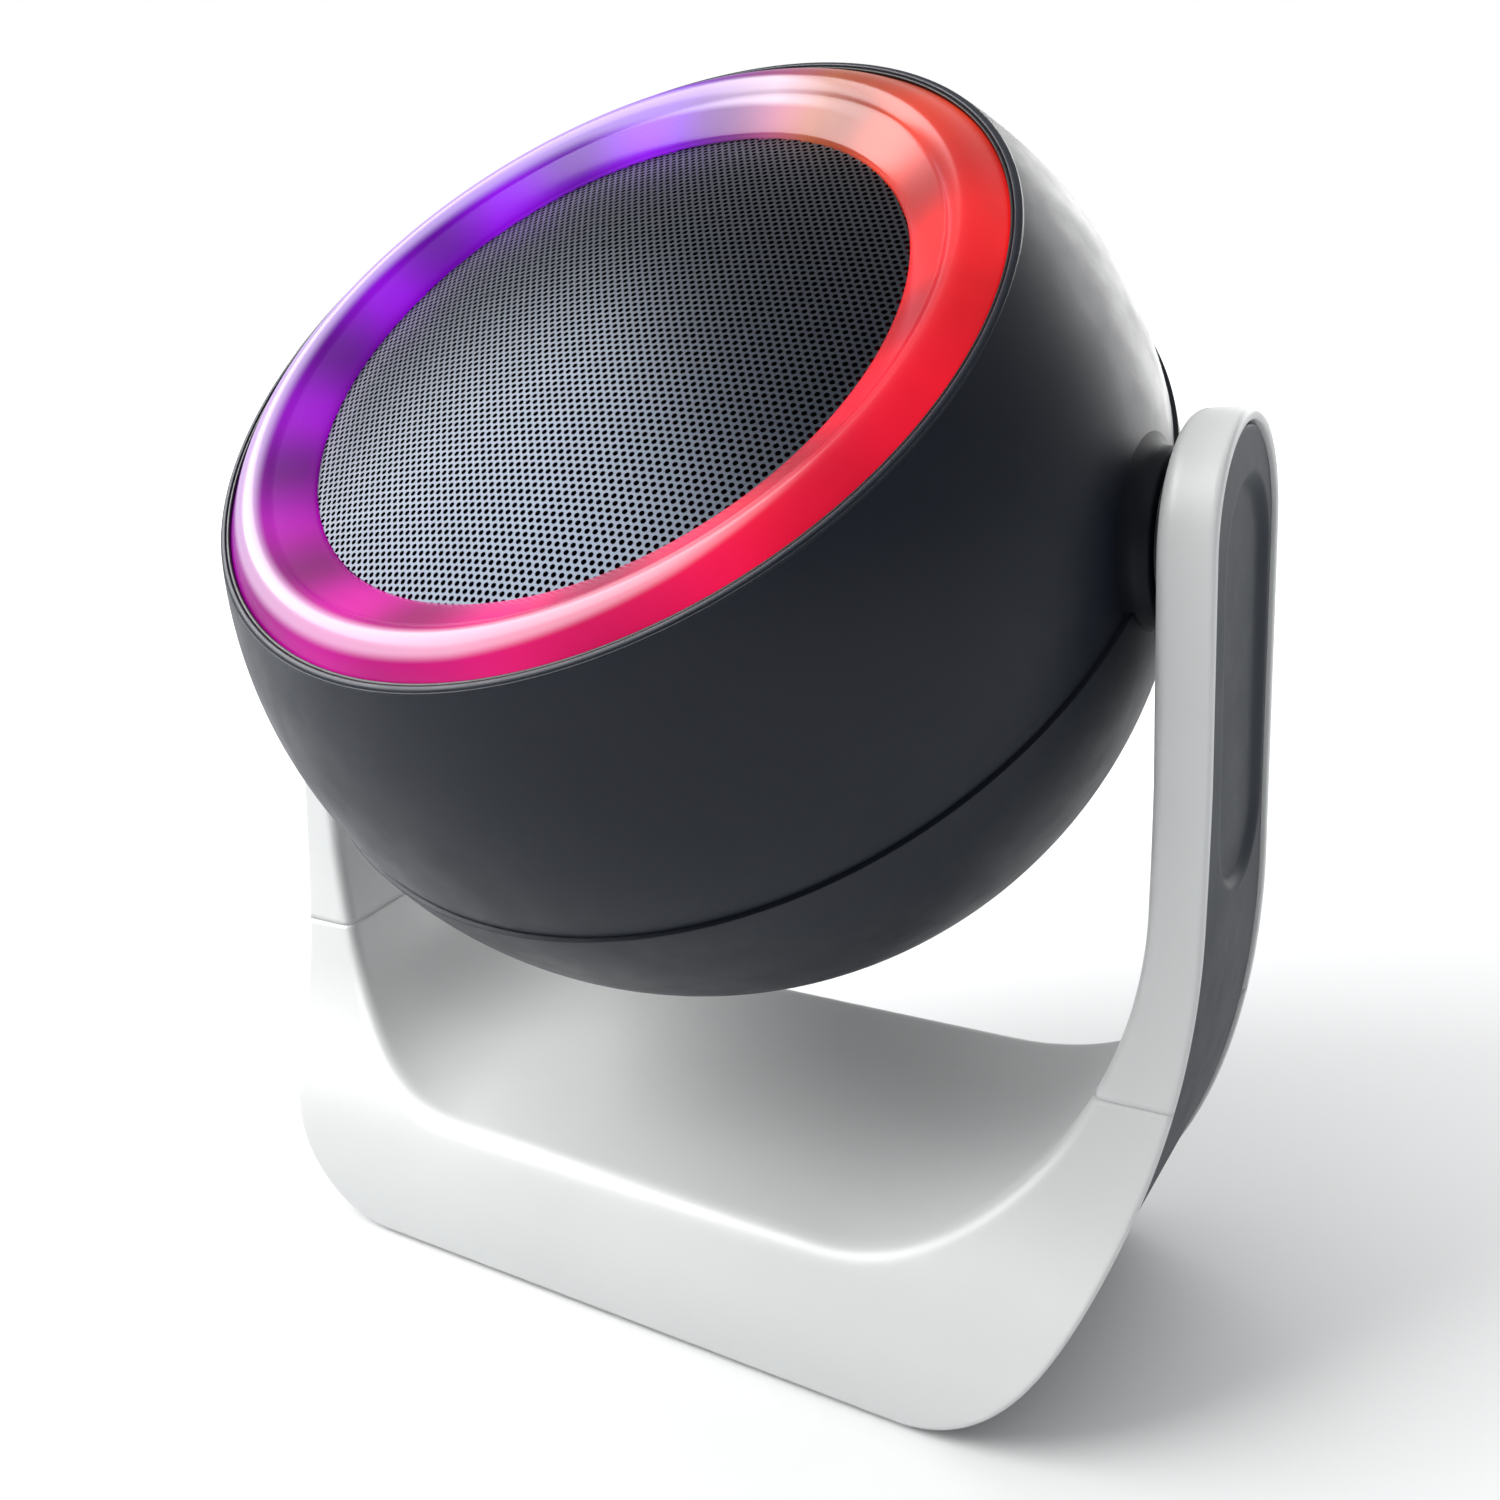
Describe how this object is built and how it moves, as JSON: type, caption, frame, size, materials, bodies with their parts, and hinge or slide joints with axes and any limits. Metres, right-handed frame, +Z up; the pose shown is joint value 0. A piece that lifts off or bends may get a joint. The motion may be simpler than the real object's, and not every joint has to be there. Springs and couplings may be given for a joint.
{
  "type": "smart speaker",
  "caption": "Ball-shaped smart speaker with a domed perforated grille and glowing ring, tilting in a white U-shaped yoke stand.",
  "frame": {"origin": "on the surface it stands on, straight under the tilt axis, midway between the arms", "axes": "+X along the tilt axis, -Y towards the front of the stand, +Z up"},
  "size_m": [0.1608, 0.139, 0.1787],
  "materials": {
    "shell_dark": "satin",
    "trim_black": "gloss",
    "light_ring_lit": "gloss",
    "reflector_white": "matte",
    "circuit_board": "satin",
    "lamp_lens": "gloss",
    "small_metal": "satin",
    "grille_metal": "satin",
    "inner_plastic": "matte",
    "foam_black": "matte",
    "plated_steel": "satin",
    "ferrite": "matte",
    "copper_wire": "satin",
    "cone_paper": "matte",
    "spider_cloth": "matte",
    "cell_wrap_blue": "satin",
    "battery_sleeve": "satin",
    "panel_dark": "matte",
    "button_dark": "satin",
    "boss_dark": "satin",
    "washer_nylon": "matte",
    "stand_white": "satin",
    "cover_slate": "satin",
    "plate_dark": "matte",
    "sole_rubber": "matte"
  },
  "bodies": {
    "stand": {"yoke_frame": "plated_steel", "base_shell": "stand_white", "left_arm": "stand_white", "right_arm": "stand_white", "left_cover": "cover_slate", "right_cover": "cover_slate", "arm_screws": "small_metal", "frame_screws": "small_metal", "bottom_plate": "plate_dark", "plate_screws": "small_metal", "sole": "sole_rubber", "left_friction_washer": "washer_nylon", "right_friction_washer": "washer_nylon"},
    "head": {"front_shell": "shell_dark", "rear_shell": "shell_dark", "trim_ring": "trim_black", "light_ring": "light_ring_lit", "ring_reflector": "reflector_white", "lamp_board": "circuit_board", "ring_lamps": "lamp_lens", "microphones": "small_metal", "grille": "grille_metal", "baffle": "inner_plastic", "driver_gasket": "foam_black", "driver_basket": "inner_plastic", "driver_screws": "small_metal", "top_plate": "plated_steel", "driver_magnet": "ferrite", "pole_piece": "plated_steel", "surround": "foam_black", "spider": "spider_cloth", "chassis": "inner_plastic", "battery_cells": "cell_wrap_blue", "battery_wrap": "battery_sleeve", "main_board": "circuit_board", "board_parts": "inner_plastic", "rear_panel": "panel_dark", "control_board": "circuit_board", "tact_switches": "small_metal", "charge_socket": "small_metal", "shell_screws": "small_metal", "baffle_screws": "small_metal", "chassis_screws": "small_metal", "board_screws": "small_metal", "left_hub": "boss_dark", "right_hub": "boss_dark", "left_pivot_clip": "plated_steel", "right_pivot_clip": "plated_steel", "left_pivot_screw": "small_metal", "right_pivot_screw": "small_metal"},
    "cone": {"driver_cone": "cone_paper", "dust_cap": "cone_paper", "voice_coil": "copper_wire"},
    "power_button": {"power_button": "button_dark"},
    "volume_up_button": {"volume_up_button": "button_dark"},
    "volume_down_button": {"volume_down_button": "button_dark"},
    "light_button": {"light_button": "button_dark"}
  },
  "joints": [
    {"name": "head_tilt", "type": "hinge", "parent": "stand", "child": "head", "pos_m": [0, 0, 0.1127], "axis": [1, 0, 0], "range_deg": [-69, 61]},
    {"name": "cone_travel", "type": "slide", "parent": "head", "child": "cone", "axis": [0, -0.628, 0.7782], "range_m": [-0.0015, 0.0015], "stiffness_N_per_m": 1500, "deforming": ["surround", "spider"]},
    {"name": "power_press", "type": "slide", "parent": "head", "child": "power_button", "axis": [0, -0.628, 0.7782], "range_m": [0, 0.0005], "stiffness_N_per_m": 2000},
    {"name": "volume_up_press", "type": "slide", "parent": "head", "child": "volume_up_button", "axis": [0, -0.628, 0.7782], "range_m": [0, 0.0005], "stiffness_N_per_m": 2000},
    {"name": "volume_down_press", "type": "slide", "parent": "head", "child": "volume_down_button", "axis": [0, -0.628, 0.7782], "range_m": [0, 0.0005], "stiffness_N_per_m": 2000},
    {"name": "light_press", "type": "slide", "parent": "head", "child": "light_button", "axis": [0, -0.628, 0.7782], "range_m": [0, 0.0005], "stiffness_N_per_m": 2000}
  ]
}
